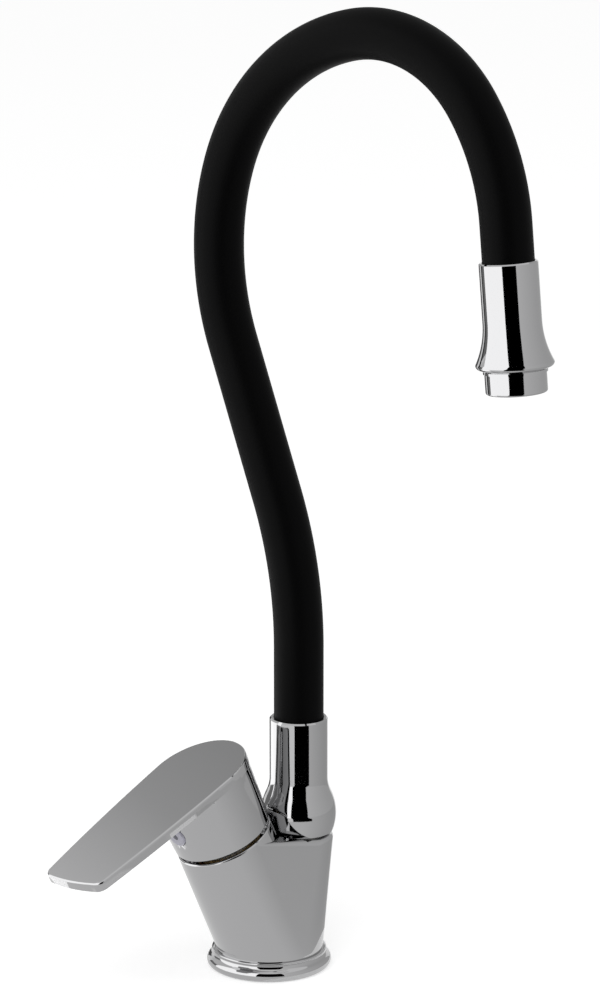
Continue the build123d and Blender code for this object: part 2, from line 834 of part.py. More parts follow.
with BuildPart() as spout_shank:
    add(ring_between(spout_plane, shank_radius, 0, shank_low, collar_skirt_height))
    add(ring_between(spout_plane, shank_thread_radius, 0, collar_skirt_height, hose_seat_height))
    nipple_top = hose_seat_height + nipple_length
    add(ring_between(spout_plane, nipple_radius, 0, hose_seat_height, nipple_top))
    for height in seal_heights:
        with BuildSketch(spout_plane.offset(height)):
            Circle(shank_radius + cut_overrun)
            Circle(shank_radius - seal_groove_depth, mode=Mode.SUBTRACT)
        extrude(amount=seal_groove_width, mode=Mode.SUBTRACT)
    with BuildSketch(spout_plane.offset(clip_low)):
        Circle(shank_radius + cut_overrun)
        Circle(shank_radius - clip_shank_depth, mode=Mode.SUBTRACT)
    extrude(amount=clip_thickness, mode=Mode.SUBTRACT)
    with BuildSketch(spout_plane.offset(shank_low)):
        Circle(shank_bore_radius)
    extrude(amount=shank_bore_top - shank_low, mode=Mode.SUBTRACT)
    with BuildSketch(spout_plane.offset(shank_bore_top)):
        Circle(water_bore_radius)
    extrude(amount=nipple_top - shank_bore_top, mode=Mode.SUBTRACT)
save(spout_shank.part, "spout_shank")

# Shank seals: two rubber rings in the shank's grooves
with BuildPart() as shank_seals:
    for height in seal_heights:
        add(
            ring_between(
                spout_plane,
                spout_bore_radius - fit_gap / 2,
                shank_radius - seal_groove_depth,
                height,
                height + seal_groove_width,
            )
        )
save(shank_seals.part, "shank_seals")

# Spout clip: a split spring ring in the shank's groove, which reaches into the body's groove
clip_split = 3.0
with BuildPart() as spout_clip:
    with BuildSketch(spout_plane.offset(clip_low)):
        Circle(clip_groove_radius - loose_gap)
        Circle(shank_radius - clip_shank_depth, mode=Mode.SUBTRACT)
        with Locations((clip_groove_radius, 0)):
            Rectangle(2 * seal_groove_depth + clip_split, clip_split, mode=Mode.SUBTRACT)
    extrude(amount=clip_thickness)
save(spout_clip.part, "spout_clip")

# Neck: each run of the silicone hose and of the water tube inside it is a piece of its own
neck_stations = [0]
for run in neck_runs:
    neck_stations.append(neck_stations[-1] + run)
neck_length = neck_stations[-1]
hose_bore_radius = hose_radius - hose_wall

for number, (start, end) in enumerate(zip(neck_stations, neck_stations[1:]), 1):
    sleeve = neck_tube(start, end, hose_radius, hose_bore_radius)
    save(sleeve, f"hose_sleeve_{number}")
    tube = neck_tube(start, end, tube_radius, tube_inner_radius)
    save(tube, f"water_tube_{number}")

# Core links: the stiff core that lets the neck stay where it is bent. Each link ends in a ball
# that turns in the next link's cup, at the middle of each run between the first and the last.
core_radius = 5.5
core_tube_gap = 0.4
core_bore_radius = tube_radius + core_tube_gap
core_ball_radius = 6.6
core_ball_gap = 0.08
cup_radius = 7.6
cup_lip = 0.9
cup_length = 5.6
cup_chamfer = 1.5
joint_stations = [
    (start + end) / 2 for start, end in zip(neck_stations[1:-2], neck_stations[2:-1])
]
core_starts = [0] + joint_stations
core_ends = joint_stations + [neck_length]

for number, (start, end) in enumerate(zip(core_starts, core_ends), 1):
    has_cup = number > 1
    has_ball = number < len(core_starts)
    tube_start = start + cup_length if has_cup else start
    with BuildPart() as core_link:
        if has_cup:
            with BuildSketch(neck_section(start).offset(-cup_lip)):
                Circle(cup_radius)
            extrude(amount=cup_lip + cup_length)
            cup_axis = Axis(neck_section(start).origin, neck_section(start).z_dir)
            chamfer(core_link.faces().sort_by(cup_axis)[-1].edges(), cup_chamfer)
        add(neck_tube(tube_start, end, core_radius, 0))
        if has_ball:
            with Locations(neck_section(end)):
                Sphere(core_ball_radius)
        if has_cup:
            with Locations(neck_section(start)):
                Sphere(core_ball_radius + core_ball_gap, mode=Mode.SUBTRACT)
        bore_end = end + core_ball_radius + cut_overrun if has_ball else end
        add(neck_tube(start, bore_end, core_bore_radius, 0), mode=Mode.SUBTRACT)
    save(core_link.part, f"core_link_{number}")

# Neck fittings: brass sleeves between the core's ends and the hose
fitting_setback = 3.8
fitting_length = hose_seat_depth - fitting_setback
fitting_inner = core_radius + fit_gap
fitting_outer = hose_bore_radius - fit_gap
save(neck_tube(0, fitting_length, fitting_outer, fitting_inner), "neck_lower_fitting")
save(
    neck_tube(neck_length - fitting_length, neck_length, fitting_outer, fitting_inner),
    "neck_upper_fitting",
)

# Outlet bell: the chromed end piece, cylindrical at the hose and flared at its rim.
# Its heights run down from the bell's top edge.
bell_mouth_depth = 12.1
bell_web_thickness = 12.4
bell_web_end = bell_length - bell_mouth_depth
bell_seat_depth = bell_web_end - bell_web_thickness
bell_radius = bell_top_diameter / 2
bell_rim_radius = bell_rim_diameter / 2
bell_flare_start = 22.7
bell_rim_round = 1.8
bell_lip = 0.5
bell_thread_radius = 11.2
tip_plane = neck_section(neck_length - bell_seat_depth)
tip_profile = Plane(origin=tip_plane.origin, x_dir=tip_plane.x_dir, z_dir=-tip_plane.y_dir)
tip_axis = Axis(tip_plane.origin, tip_plane.z_dir)
flare_fall = bell_length - bell_rim_round - bell_flare_start
flare_turn = 2 * atan2(bell_rim_radius - bell_radius, flare_fall)
flare_curve = flare_fall / sin(flare_turn)

with BuildPart() as outlet_bell:
    with BuildSketch(tip_profile):
        with BuildLine():
            Polyline(
                (hose_seat_radius, bell_seat_depth),
                (hose_seat_radius, 0),
                (bell_radius - bell_lip, 0),
                (bell_radius, bell_lip),
                (bell_radius, bell_flare_start),
            )
            flare = JernArc(
                (bell_radius, bell_flare_start), (0, 1), flare_curve, -degrees(flare_turn)
            )
            rim = ThreePointArc(
                flare @ 1,
                (bell_rim_radius - bell_rim_round / 4, bell_length - bell_rim_round / 3),
                (bell_rim_radius - bell_rim_round, bell_length),
            )
            Polyline(
                rim @ 1,
                (bell_thread_radius, bell_length),
                (bell_thread_radius, bell_web_end),
                (shank_thread_radius + fit_gap, bell_web_end),
                (shank_thread_radius + fit_gap, bell_seat_depth),
                (hose_seat_radius, bell_seat_depth),
            )
        make_face()
    revolve(axis=tip_axis)
save(outlet_bell.part, "outlet_bell")

# Outlet nipple: brass, screwed into the bell's web, with the water tube pushed over it
outlet_nipple_length = 9.0
with BuildPart() as outlet_nipple:
    add(ring_between(tip_plane, shank_thread_radius, 0, bell_seat_depth, bell_web_end))
    nipple_low = bell_seat_depth - outlet_nipple_length
    add(ring_between(tip_plane, nipple_radius, 0, nipple_low, bell_seat_depth))
    with BuildSketch(tip_plane.offset(nipple_low)):
        Circle(water_bore_radius)
    extrude(amount=bell_web_end - nipple_low, mode=Mode.SUBTRACT)
save(outlet_nipple.part, "outlet_nipple")

# Aerator: a screwed housing with its washer, flow insert, screen and outlet grid
aerator_radius = aerator_diameter / 2
aerator_thread_radius = bell_thread_radius - fit_gap
aerator_shadow_gap = 0.6
aerator_lip_width = 0.5
aerator_lip_height = 1.0
aerator_bore_radius = 9.4
aerator_ledge = 0.8
aerator_round = 1.0
washer_thickness = 1.6
washer_inner_radius = 7.6
insert_length = 7.0
insert_holes = 8
insert_hole_radius = 1.1
insert_ring_radius = 5.6
screen_thickness = 0.8
grid_thickness = 3.0
grid_hole = 1.15
grid_pitch = 2.9
grid_count = 7
aerator_low = bell_web_end + washer_thickness
aerator_bottom = bell_length + aerator_shadow_gap + aerator_drop
grid_bottom = aerator_bottom - aerator_ledge

save(
    ring_between(
        tip_plane, aerator_thread_radius, washer_inner_radius, bell_web_end, aerator_low
    ),
    "aerator_washer",
)

with BuildPart() as aerator_housing:
    with BuildSketch(tip_profile):
        Polygon(
            (aerator_bore_radius, aerator_low),
            (aerator_thread_radius, aerator_low),
            (aerator_thread_radius, bell_length + aerator_shadow_gap),
            (aerator_radius + aerator_lip_width, bell_length + aerator_shadow_gap),
            (
                aerator_radius + aerator_lip_width,
                bell_length + aerator_shadow_gap + aerator_lip_height,
            ),
            (aerator_radius, bell_length + aerator_shadow_gap + aerator_lip_height),
            (aerator_radius, aerator_bottom - aerator_round),
            (aerator_radius - aerator_round, aerator_bottom),
            (aerator_bore_radius - aerator_ledge, aerator_bottom),
            (aerator_bore_radius - aerator_ledge, grid_bottom),
            (aerator_bore_radius, grid_bottom),
            align=None,
        )
    revolve(axis=tip_axis)
save(aerator_housing.part, "aerator_housing")

insert_radius = aerator_bore_radius - fit_gap
insert_end = aerator_low + insert_length
with BuildPart() as aerator_insert:
    add(ring_between(tip_plane, insert_radius, 0, aerator_low, insert_end))
    with BuildSketch(tip_plane.offset(insert_end)):
        Circle(insert_radius - aerator_ledge)
    extrude(amount=-insert_length / 2, mode=Mode.SUBTRACT)
    with BuildSketch(tip_plane.offset(aerator_low)):
        with PolarLocations(insert_ring_radius, insert_holes):
            Circle(insert_hole_radius)
    extrude(amount=insert_length, mode=Mode.SUBTRACT)
save(aerator_insert.part, "aerator_insert")

screen_end = insert_end + screen_thickness
save(ring_between(tip_plane, insert_radius, 0, insert_end, screen_end), "aerator_screen")

# The grid is one moulding: a ring that reaches back to the screen, with a lattice of holes
with BuildPart() as aerator_grid:
    add(ring_between(tip_plane, insert_radius, 0, grid_bottom - grid_thickness, grid_bottom))
    add(
        ring_between(
            tip_plane,
            insert_radius,
            insert_radius - aerator_ledge,
            screen_end,
            grid_bottom - grid_thickness,
        )
    )
    with BuildSketch(tip_plane.offset(grid_bottom)):
        with HexLocations(grid_pitch / 2, grid_count, grid_count):
            RegularPolygon(grid_hole, 6)
        Circle(insert_radius - 2 * aerator_ledge, mode=Mode.INTERSECT)
    extrude(amount=-grid_thickness, mode=Mode.SUBTRACT)
save(aerator_grid.part, "aerator_grid")

for number, (length, turn) in enumerate(zip(neck_runs, neck_turns), 1):
    if turn:
        print(f"neck run {number}: radius {length / radians(abs(turn)):.1f}")
for number, station in enumerate(joint_stations, 1):
    x, y, heading = neck_place(station)
    place = neck_plane.from_local_coords((x, y, 0))
    print(f"neck joint {number}: {place.X:.2f} {place.Y:.2f} {place.Z:.2f}")
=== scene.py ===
from math import acos, atan2, cos, pi, radians, sin, sqrt

import bpy
from mathutils import Matrix, Vector


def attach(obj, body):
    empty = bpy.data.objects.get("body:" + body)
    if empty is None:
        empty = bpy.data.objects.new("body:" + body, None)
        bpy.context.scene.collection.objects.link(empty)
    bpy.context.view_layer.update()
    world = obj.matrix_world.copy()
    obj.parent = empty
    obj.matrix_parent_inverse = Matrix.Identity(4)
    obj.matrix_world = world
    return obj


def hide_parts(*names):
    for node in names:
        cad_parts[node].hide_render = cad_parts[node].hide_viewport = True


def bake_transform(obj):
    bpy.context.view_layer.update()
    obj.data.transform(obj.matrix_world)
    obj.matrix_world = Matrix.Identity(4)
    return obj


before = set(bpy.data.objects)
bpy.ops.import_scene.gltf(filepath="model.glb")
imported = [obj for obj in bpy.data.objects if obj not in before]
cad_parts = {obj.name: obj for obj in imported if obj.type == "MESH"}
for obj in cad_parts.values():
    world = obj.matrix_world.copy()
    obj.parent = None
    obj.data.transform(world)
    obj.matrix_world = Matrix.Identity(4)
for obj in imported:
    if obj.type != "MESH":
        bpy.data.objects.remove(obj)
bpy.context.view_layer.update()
scene = bpy.context.scene
scene.view_settings.view_transform = "Standard"

# Camera: a long lens 1.7 m away, in front of the mixer and to its left. It stands above the
# hose's top and looks a little down.
camera_height = 0.576
camera_distance = 1.6
camera_azimuth = 30.0
camera_turn = 30.45
camera_tilt = 13.416
camera_lens = 249.74
camera_sensor = 36.0
camera_data = bpy.data.cameras.new("camera")
camera_data.sensor_fit = "HORIZONTAL"
camera_data.sensor_width = camera_sensor
camera_data.lens = camera_lens
camera = bpy.data.objects.new("camera", camera_data)
camera.location = (
    -camera_distance * sin(radians(camera_azimuth)),
    -camera_distance * cos(radians(camera_azimuth)),
    camera_height,
)
camera.rotation_euler = (radians(90 - camera_tilt), 0, radians(-camera_turn))
scene.collection.objects.link(camera)
scene.camera = camera

# Studio: a white room with a large pale floor, a broad soft lamp at the left and a weaker one
# at the right. The room shows in the chrome as it shows behind the mixer.
floor_size = 14.0
floor_colour = (0.84, 0.84, 0.84, 1)
floor_glow = 0.53
ambient_strength = 0.5

world = bpy.data.worlds.new("studio")
scene.world = world
world.use_nodes = True
room = world.node_tree
room.nodes.clear()
light_path = room.nodes.new("ShaderNodeLightPath")
seen_or_mirrored = room.nodes.new("ShaderNodeMath")
seen_or_mirrored.operation = "MAXIMUM"
seen_at_all = room.nodes.new("ShaderNodeMath")
seen_at_all.operation = "MAXIMUM"
ambient = room.nodes.new("ShaderNodeBackground")
ambient.inputs["Color"].default_value = (1, 1, 1, 1)
ambient.inputs["Strength"].default_value = ambient_strength
backdrop = room.nodes.new("ShaderNodeBackground")
backdrop.inputs["Color"].default_value = (1, 1, 1, 1)
backdrop.inputs["Strength"].default_value = 1.0
room_mix = room.nodes.new("ShaderNodeMixShader")
room_output = room.nodes.new("ShaderNodeOutputWorld")
room.links.new(light_path.outputs["Is Camera Ray"], seen_or_mirrored.inputs[0])
room.links.new(light_path.outputs["Is Glossy Ray"], seen_or_mirrored.inputs[1])
room.links.new(seen_or_mirrored.outputs[0], seen_at_all.inputs[0])
room.links.new(light_path.outputs["Is Transmission Ray"], seen_at_all.inputs[1])
room.links.new(seen_at_all.outputs[0], room_mix.inputs["Fac"])
room.links.new(ambient.outputs[0], room_mix.inputs[1])
room.links.new(backdrop.outputs[0], room_mix.inputs[2])
room.links.new(room_mix.outputs[0], room_output.inputs["Surface"])

bpy.ops.object.select_all(action="DESELECT")
bpy.ops.mesh.primitive_plane_add(size=floor_size, location=(0, 0, 0))
floor = bpy.context.object
floor.name = "floor"
floor_finish = bpy.data.materials.new("floor_finish")
floor_finish.use_nodes = True
floor_nodes = floor_finish.node_tree.nodes
floor_links = floor_finish.node_tree.links
floor_shader = floor_nodes["Principled BSDF"]
floor_shader.inputs["Base Color"].default_value = floor_colour
floor_shader.inputs["Roughness"].default_value = 0.9
floor_shader.inputs["Specular IOR Level"].default_value = 0.0
floor_shader.inputs["Emission Color"].default_value = (1, 1, 1, 1)
floor_path = floor_nodes.new("ShaderNodeLightPath")
floor_seen = floor_nodes.new("ShaderNodeMath")
floor_seen.operation = "MAXIMUM"
floor_lift = floor_nodes.new("ShaderNodeMath")
floor_lift.operation = "MULTIPLY"
floor_lift.inputs[1].default_value = floor_glow
floor_links.new(floor_path.outputs["Is Camera Ray"], floor_seen.inputs[0])
floor_links.new(floor_path.outputs["Is Glossy Ray"], floor_seen.inputs[1])
floor_links.new(floor_seen.outputs[0], floor_lift.inputs[0])
floor_links.new(floor_lift.outputs[0], floor_shader.inputs["Emission Strength"])
floor.data.materials.append(floor_finish)


def soft_lamp(name, place, target, size, power):
    """A square area lamp that faces a point."""
    lamp_data = bpy.data.lights.new(name, "AREA")
    lamp_data.shape = "SQUARE"
    lamp_data.size = size
    lamp_data.energy = power
    lamp = bpy.data.objects.new(name, lamp_data)
    lamp.location = place
    way = Vector(target) - Vector(place)
    lamp.rotation_euler = way.to_track_quat("-Z", "Y").to_euler()
    lamp.visible_glossy = False
    scene.collection.objects.link(lamp)


soft_lamp("key_lamp", place=(-1.9, -1.5, 2.1), target=(0, 0, 0.1), size=2.0, power=26)
soft_lamp("fill_lamp", place=(1.9, -1.3, 1.6), target=(0, 0, 0.15), size=1.4, power=5)


# Studio cards: black, grey and white boards that only mirrors see. The collar and the bell show
# them as the dark and bright stripes that make chrome look like chrome.
def walls(first, count, height):
    """Faces between columns of points that stand side by side."""
    faces = []
    for column in range(first, first + count):
        here, there = column * height, (column + 1) * height
        for row in range(height - 1):
            faces.append((here + row, there + row, there + row + 1, here + row + 1))
    return faces


def put_up(name, columns, glows):
    """A card through columns of points, hidden from all but mirrors. Each column has its glow."""
    rows = len(columns[0])
    points = [point for column in columns for point in column]
    mesh = bpy.data.meshes.new(name)
    mesh.from_pydata(points, [], walls(0, len(columns) - 1, rows))
    share = mesh.attributes.new("glow", "FLOAT", "POINT")
    share.data.foreach_set("value", [glow for glow in glows for row in range(rows)])
    finish = bpy.data.materials.new(name)
    finish.use_nodes = True
    tree = finish.node_tree
    tree.nodes.clear()
    glow_here = tree.nodes.new("ShaderNodeAttribute")
    glow_here.attribute_name = "glow"
    light = tree.nodes.new("ShaderNodeEmission")
    output = tree.nodes.new("ShaderNodeOutputMaterial")
    tree.links.new(glow_here.outputs["Fac"], light.inputs["Strength"])
    tree.links.new(light.outputs[0], output.inputs["Surface"])
    mesh.materials.append(finish)
    board = bpy.data.objects.new(name, mesh)
    scene.collection.objects.link(board)
    board.visible_camera = False
    board.visible_diffuse = False
    board.visible_shadow = False
    board.visible_transmission = False


spout_offset = 0.014
card_steps = 24
card_lift = 0.001
card_middle = Vector((spout_offset, 0, card_lift))


def bent_card(name, rows, first_glow, last_glow):
    """A card round the spout's foot, as rows of distance, height, and first and last azimuth.

    Azimuths are in degrees from the camera's side, to the right. The glow runs evenly from the
    first azimuth to the last.
    """
    columns = []
    glows = []
    for step in range(card_steps + 1):
        share = step / card_steps
        column = []
        for distance, height, first, last in rows:
            turn = radians(first + (last - first) * share - 90 - camera_azimuth)
            way = Vector((distance * cos(turn), distance * sin(turn), height))
            column.append(card_middle + way)
        columns.append(column)
        glows.append(first_glow + (last_glow - first_glow) * share)
    put_up(name, columns, glows)


# Distances at which the cards begin, bend and end, and heights of their standing parts
foot_edge = 0.035
strip_start = 0.14
black_start = 0.235
black_bend = 0.34
strip_end = 0.42
edge_start = 0.46
right_bend = 0.5
far_bend = 0.6
wall_distance = 1.15
wall_height = 1.5
low_wall_height = 0.4

bent_card(
    "black_card",
    [
        (black_start, 0, -17, 40),
        (black_bend, 0, -17, 40),
        (far_bend, 0, -24, 27),
        (wall_distance, 0, -24, 27),
        (wall_distance, wall_height, -24, 27),
    ],
    first_glow=0.0,
    last_glow=0.0,
)
bent_card(
    "right_card",
    [(black_start, 0, 40, 150), (black_bend, 0, 40, 150), (right_bend, 0, 32, 150)],
    first_glow=0.76,
    last_glow=0.48,
)
bent_card(
    "right_wall",
    [
        (right_bend, 0, 32, 150),
        (far_bend, 0, 27, 150),
        (wall_distance, 0, 27, 150),
        (wall_distance, wall_height, 27, 150),
    ],
    first_glow=0.86,
    last_glow=0.56,
)
bent_card(
    "near_card",
    [(foot_edge, 0, 10, 150), (black_start, 0, 10, 150)],
    first_glow=0.84,
    last_glow=0.48,
)
bent_card(
    "front_card",
    [(foot_edge, 0, -140, 10), (strip_start, 0, -140, 10), (black_start, 0, -74, 10)],
    first_glow=0.92,
    last_glow=0.84,
)
for name, first, last, glow in (("white_strip", -140, -74, 2.1), ("dark_strip", -178, -148, 0.1)):
    strip = [(strip_start, 0, first, last), (strip_end, 0, first, last)]
    bent_card(name, strip, glow, glow)
for name, top, first, last, glow in (
    ("white_wall", wall_height, -112, -24, 2.0),
    ("dark_edge", low_wall_height, -180, -152, 0.1),
    ("grey_edge", low_wall_height, -136, -112, 0.25),
):
    wall = [(edge_start, 0, first, last), (wall_distance, 0, first, last)]
    bent_card(name, wall + [(wall_distance, top, first, last)], glow, glow)

# The back board is what the lever's flat top shows. It fades across the short stretch that the
# lever sees, so that the tip is paler than the hub.
board_back = 1.2
board_low = 0.5
board_high = 2.0
board_glows = {-1.2: 0.84, -0.03: 0.84, 0.005: 0.73, 0.058: 0.56, 0.13: 0.47, 1.2: 0.47}
put_up(
    "back_board",
    [[(x, board_back, board_low), (x, board_back, board_high)] for x in board_glows],
    list(board_glows.values()),
)


# Chrome: bright chromium over polished brass. It is a mirror with a faint grain of polishing,
# a little softer in places.
def surface(name, colour, metallic, smoothest, roughest, grain_scale, bump_height):
    """A finish whose roughness and relief vary a little with a fine grain."""
    finish = bpy.data.materials.new(name)
    finish.use_nodes = True
    nodes = finish.node_tree.nodes
    links = finish.node_tree.links
    shader = nodes["Principled BSDF"]
    shader.inputs["Base Color"].default_value = (*colour, 1)
    shader.inputs["Metallic"].default_value = metallic
    place = nodes.new("ShaderNodeTexCoord")
    grain = nodes.new("ShaderNodeTexNoise")
    grain.inputs["Scale"].default_value = grain_scale
    grain.inputs["Detail"].default_value = 6.0
    spread = nodes.new("ShaderNodeMapRange")
    spread.inputs["To Min"].default_value = smoothest
    spread.inputs["To Max"].default_value = roughest
    relief = nodes.new("ShaderNodeBump")
    relief.inputs["Strength"].default_value = 1.0
    relief.inputs["Distance"].default_value = bump_height
    links.new(place.outputs["Object"], grain.inputs["Vector"])
    links.new(grain.outputs["Fac"], spread.inputs["Value"])
    links.new(spread.outputs[0], shader.inputs["Roughness"])
    links.new(grain.outputs["Fac"], relief.inputs["Height"])
    links.new(relief.outputs[0], shader.inputs["Normal"])
    return finish


def dress(piece, finish):
    """Gives a piece one finish all over."""
    piece.data.materials.clear()
    piece.data.materials.append(finish)


def select_only(piece):
    """Makes a piece the only selected and the active one."""
    bpy.ops.object.select_all(action="DESELECT")
    piece.select_set(True)
    bpy.context.view_layer.objects.active = piece


chrome = surface(
    "chrome",
    colour=(0.43, 0.43, 0.435),
    metallic=1.0,
    smoothest=0.03,
    roughest=0.07,
    grain_scale=140.0,
    bump_height=0.0000005,
)


# Mixer body: one brass casting, polished and chromed. Two tapered branches grow out of its
# round foot, and a web whose sides touch both fills the valley between them.
def arc_through(start, middle, end, count):
    """Points on the circle through three points, in a plane."""
    (ax, ay), (bx, by), (cx, cy) = start, middle, end
    double_area = 2 * (ax * (by - cy) + bx * (cy - ay) + cx * (ay - by))
    a_sum, b_sum, c_sum = ax * ax + ay * ay, bx * bx + by * by, cx * cx + cy * cy
    centre_x = (a_sum * (by - cy) + b_sum * (cy - ay) + c_sum * (ay - by)) / double_area
    centre_y = (a_sum * (cx - bx) + b_sum * (ax - cx) + c_sum * (bx - ax)) / double_area
    radius = sqrt((ax - centre_x) ** 2 + (ay - centre_y) ** 2)
    first = atan2(ay - centre_y, ax - centre_x)
    halfway = (atan2(by - centre_y, bx - centre_x) - first) % (2 * pi)
    sweep = (atan2(cy - centre_y, cx - centre_x) - first) % (2 * pi)
    if halfway > sweep:
        sweep -= 2 * pi
    angles = [first + sweep * step / count for step in range(count + 1)]
    return [(centre_x + radius * cos(turn), centre_y + radius * sin(turn)) for turn in angles]


def turned(name, profile, place, crease=32, steps=160):
    """A turned piece: its profile is (radius, height) pairs, spun round the place's Z.

    A profile that starts on the axis ends there too. Any other one is closed.
    """
    mesh = bpy.data.meshes.new(name)
    count = len(profile)
    rim = [(index, index + 1) for index in range(count - 1)]
    if profile[0][0] > 0:
        rim.append((count - 1, 0))
    mesh.from_pydata([(radius, 0, height) for radius, height in profile], rim, [])
    piece = bpy.data.objects.new(name, mesh)
    scene.collection.objects.link(piece)
    select_only(piece)
    bpy.ops.object.mode_set(mode="EDIT")
    bpy.ops.mesh.select_all(action="SELECT")
    bpy.ops.mesh.spin(steps=steps, angle=2 * pi, center=(0, 0, 0), axis=(0, 0, 1))
    bpy.ops.mesh.select_all(action="SELECT")
    bpy.ops.mesh.remove_doubles(threshold=merge_distance)
    bpy.ops.mesh.normals_make_consistent(inside=False)
    bpy.ops.object.mode_set(mode="OBJECT")
    mesh.transform(place)
    bpy.ops.object.shade_smooth_by_angle(angle=radians(crease))
    return piece


def solid(name, points, faces, crease):
    """A closed piece from its points and faces, with doubled points joined."""
    mesh = bpy.data.meshes.new(name)
    mesh.from_pydata(points, [], faces)
    piece = bpy.data.objects.new(name, mesh)
    scene.collection.objects.link(piece)
    select_only(piece)
    bpy.ops.object.mode_set(mode="EDIT")
    bpy.ops.mesh.select_all(action="SELECT")
    bpy.ops.mesh.remove_doubles(threshold=merge_distance)
    bpy.ops.mesh.normals_make_consistent(inside=False)
    bpy.ops.object.mode_set(mode="OBJECT")
    bpy.ops.object.shade_smooth_by_angle(angle=radians(crease))
    return piece


def work(piece, tool, operation="DIFFERENCE"):
    """Cuts a tool out of a piece, or joins it on, and takes the tool away."""
    change = piece.modifiers.new("change", "BOOLEAN")
    change.object = tool
    change.operation = operation
    change.solver = "EXACT"
    select_only(piece)
    bpy.ops.object.modifier_apply(modifier=change.name)
    bpy.data.objects.remove(tool, do_unlink=True)


def smooth(piece, crease):
    """Joins doubled points and shades a piece smooth up to an angle, large faces first."""
    select_only(piece)
    bpy.ops.object.mode_set(mode="EDIT")
    bpy.ops.mesh.select_all(action="SELECT")
    bpy.ops.mesh.remove_doubles(threshold=merge_distance)
    bpy.ops.mesh.dissolve_degenerate(threshold=merge_distance)
    bpy.ops.object.mode_set(mode="OBJECT")
    bpy.ops.object.shade_smooth_by_angle(angle=radians(crease))
    weights = piece.modifiers.new("weights", "WEIGHTED_NORMAL")
    weights.mode = "FACE_AREA"
    weights.weight = 100
    weights.keep_sharp = True
    bpy.ops.object.modifier_apply(modifier=weights.name)


merge_distance = 0.000002
overrun = 0.001
foot_radius = 0.022
foot_height = 0.0086
foot_land = 0.0005
spigot_radius = 0.0193
branch_tilt = radians(24.0)
ring_centre = Vector((-0.021, 0, 0.0575))
ring_radius = 0.020
rim_round = 0.0008
boss_centre = Vector((spout_offset, 0, 0.054))
boss_radius = 0.0142
boss_round = 0.0024
body_crease = 30
hub_up = Vector((-sin(branch_tilt), 0, cos(branch_tilt)))
ring_back = Vector((cos(branch_tilt), 0, sin(branch_tilt)))
web_turn = acos((ring_radius - boss_radius) / (boss_centre.x - ring_centre.x))
branch_levels = 20
round_steps = 6
front_steps = 72
rear_steps = 56
web_steps = 10
buried_levels = 10


def branch_side(turn, centre, back, radius, edge_round):
    """Points up a branch at one turn from its back, from the foot to its rounded top edge."""
    foot = Vector((foot_radius * cos(turn), foot_radius * sin(turn), foot_height + foot_land))
    outward = back * cos(turn) + Vector((0, sin(turn), 0))
    rise = centre + outward * radius - foot
    edge = foot + rise * (1 - edge_round / rise.length)
    points = [foot.lerp(edge, level / branch_levels) for level in range(branch_levels)]
    for step in range(round_steps + 1):
        bend = pi / 2 * step / round_steps
        over = rise.normalized() * (edge_round * sin(bend))
        points.append(edge + over - outward * (edge_round * (1 - cos(bend))))
    return points


def handle_side(turn):
    """Points up the handle's branch."""
    return branch_side(turn, ring_centre, ring_back, ring_radius, rim_round)


def spout_side(turn):
    """Points up the spout's branch."""
    return branch_side(turn, boss_centre, Vector((1, 0, 0)), boss_radius, boss_round)


def web_side(turn):
    """Points up the web, at even steps from the handle's branch to the spout's."""
    pairs = list(zip(handle_side(turn), spout_side(turn)))
    return [
        [near.lerp(far, step / web_steps) for near, far in pairs] for step in range(1, web_steps)
    ]


handle_columns = [
    handle_side(web_turn + (2 * pi - 2 * web_turn) * step / front_steps)
    for step in range(front_steps + 1)
]
spout_columns = [
    spout_side(-web_turn + 2 * web_turn * step / rear_steps) for step in range(rear_steps + 1)
]
columns = handle_columns + web_side(-web_turn) + spout_columns + web_side(web_turn)[::-1]
for column in columns:
    way = Vector((column[0].x, column[0].y, 0)).normalized()
    low = Vector((0, 0, foot_height))
    column[:0] = [way * spigot_radius, way * spigot_radius + low, way * foot_radius + low]
height = len(columns[0])
points = [point for column in columns for point in column]
tops = [height * (index + 1) - 1 for index in range(len(columns))]
spout_first = front_steps + web_steps
spout_last = spout_first + rear_steps
last = height * (len(columns) - 1)
faces = walls(0, len(columns) - 1, height)
faces += [(last + row, row, row + 1, last + row + 1) for row in range(height - 1)]
faces.append(
    [height * index for index in range(front_steps + 1)]
    + [height * index for index in range(spout_first + 1, spout_last)]
)
faces.append(tops[: front_steps + 1])
faces.append(tops[front_steps : spout_first + 1] + tops[spout_last:] + tops[:1])
faces.append(tops[spout_first : spout_last + 1])
body = solid("body_casting", points, faces, body_crease)

# The handle's branch rises over the web behind the ring
rear_columns = [
    handle_side(-web_turn + 2 * web_turn * step / rear_steps)[buried_levels:]
    for step in range(rear_steps + 1)
]
height = len(rear_columns[0])
points = [point for column in rear_columns for point in column]
last = rear_steps * height
faces = walls(0, rear_steps, height)
faces.append([height * index for index in range(rear_steps + 1)])
faces.append([height * (index + 1) - 1 for index in range(rear_steps + 1)])
faces.append(list(range(height)) + [last + row for row in reversed(range(height))])
work(body, solid("ring_back", points, faces, body_crease), "UNION")


def place_along(x_way, y_way, z_way, origin):
    """The place of a turned piece, from its three axes and its origin."""
    place = Matrix((x_way, y_way, z_way)).transposed().to_4x4()
    place.translation = origin
    return place


